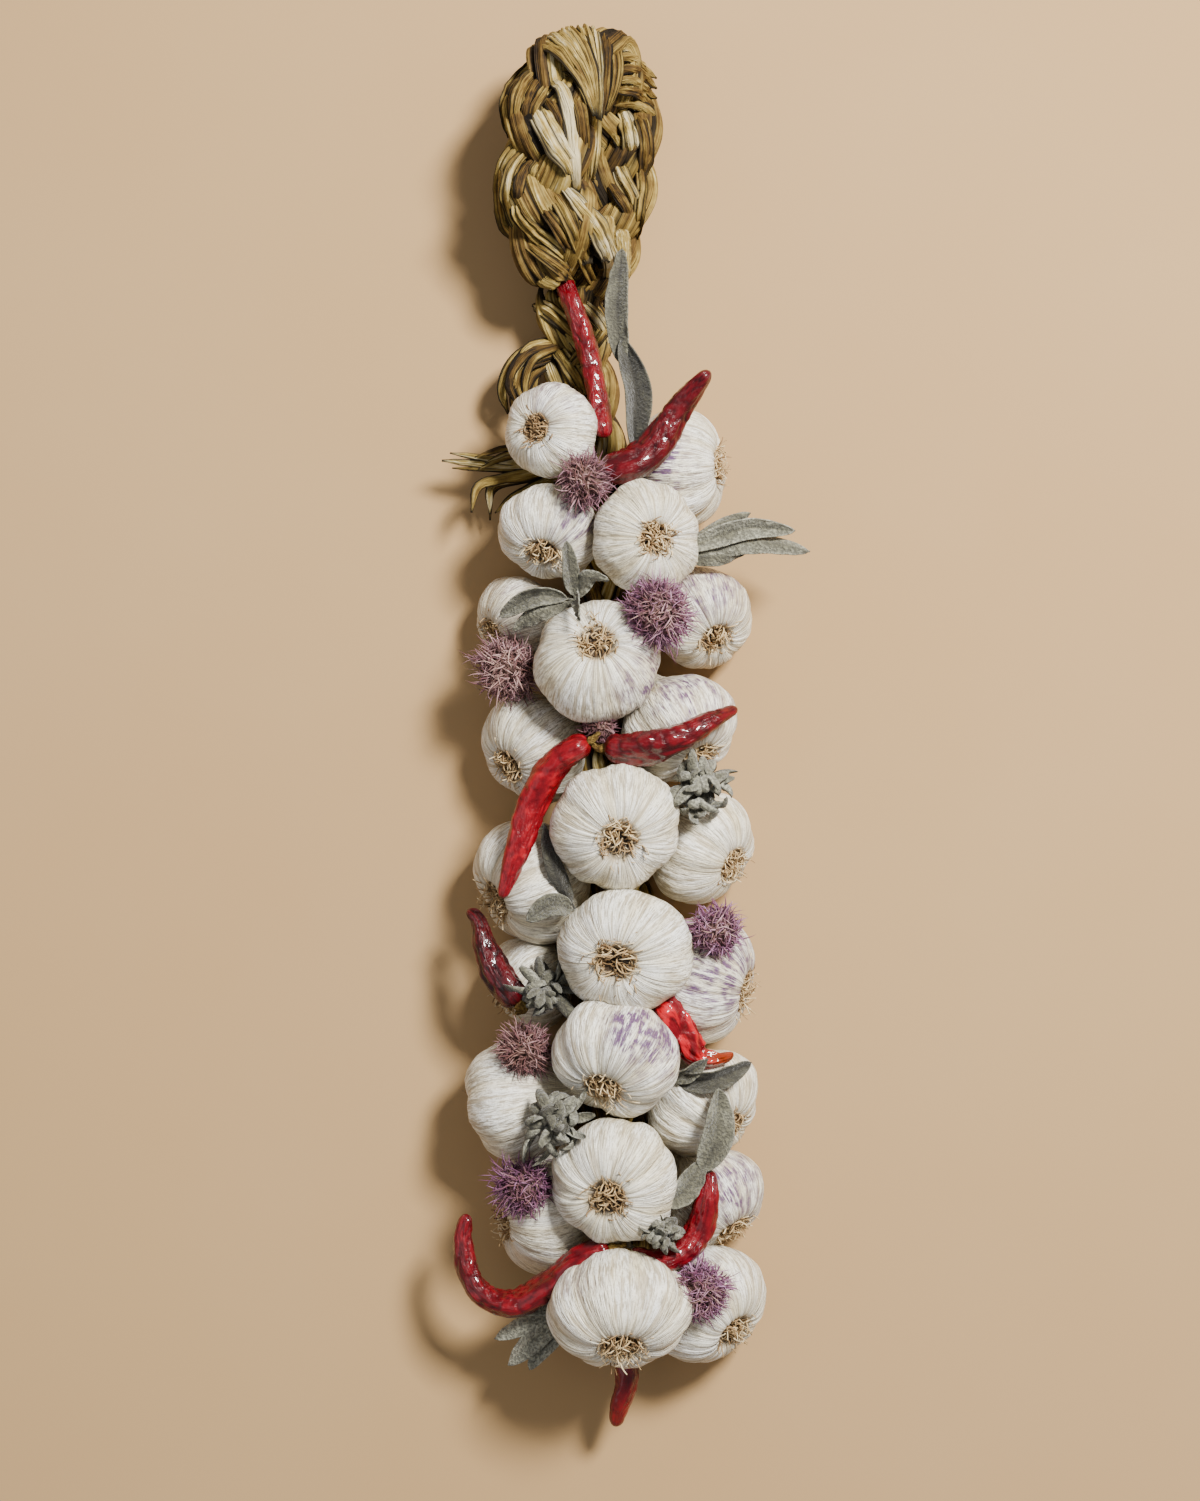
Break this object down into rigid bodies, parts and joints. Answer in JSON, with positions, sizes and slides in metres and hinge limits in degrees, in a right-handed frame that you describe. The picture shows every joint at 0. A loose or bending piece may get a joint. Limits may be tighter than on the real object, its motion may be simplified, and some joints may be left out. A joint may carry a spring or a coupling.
{
  "type": "garlic braid",
  "caption": "Hanging braid of garlic bulbs on a plait of dried leaves with a folded loop at its top, decorated with dried chillies, purple flower heads and sage leaves.",
  "frame": {"origin": "middle of the foot of the braid's bounding box as it lies on its back", "axes": "+Y along the braid towards the hanging loop, +Z out of the shown side, X across the braid"},
  "size_m": [0.1643, 0.6365, 0.0844],
  "materials": {
    "garlic": "dry papery skin, soft satin",
    "plait": "dry fibrous leaf, matt with satin ribs",
    "chilli": "glossy wrinkled dried skin",
    "flower": "dry petals, matt",
    "sage": "pebbled leaf with short fuzz, matt"
  },
  "bodies": {
    "root": {"plait_stem": "plait", "plait_loop": "plait", "garlic_01": "garlic", "garlic_02": "garlic", "garlic_03": "garlic", "garlic_04": "garlic", "garlic_05": "garlic", "garlic_06": "garlic", "garlic_07": "garlic", "garlic_08": "garlic", "garlic_09": "garlic", "garlic_10": "garlic", "garlic_11": "garlic", "garlic_12": "garlic", "garlic_13": "garlic", "garlic_14": "garlic", "garlic_15": "garlic", "garlic_16": "garlic", "garlic_17": "garlic", "garlic_18": "garlic", "garlic_19": "garlic", "garlic_20": "garlic", "garlic_21": "garlic", "garlic_22": "garlic", "garlic_23": "garlic", "chilli_01": "chilli", "chilli_02": "chilli", "chilli_03": "chilli", "chilli_04": "chilli", "chilli_05": "chilli", "chilli_06": "chilli", "chilli_07": "chilli", "chilli_08": "chilli", "chilli_09": "chilli", "flower_01": "flower", "flower_02": "flower", "flower_03": "flower", "flower_04": "flower", "flower_05": "flower", "flower_06": "flower", "flower_07": "flower", "flower_08": "flower", "leaf_ends": "plait", "leaf_bend": "plait", "sage_top": "sage", "sage_right": "sage", "sage_middle": "sage", "sage_tuft_right": "sage", "sage_left": "sage", "sage_tuft_left": "sage", "sage_dark": "sage", "sage_tuft_middle": "sage", "sage_big_leaf": "sage", "sage_tuft_low": "sage", "sage_bottom": "sage"}
  },
  "joints": []
}
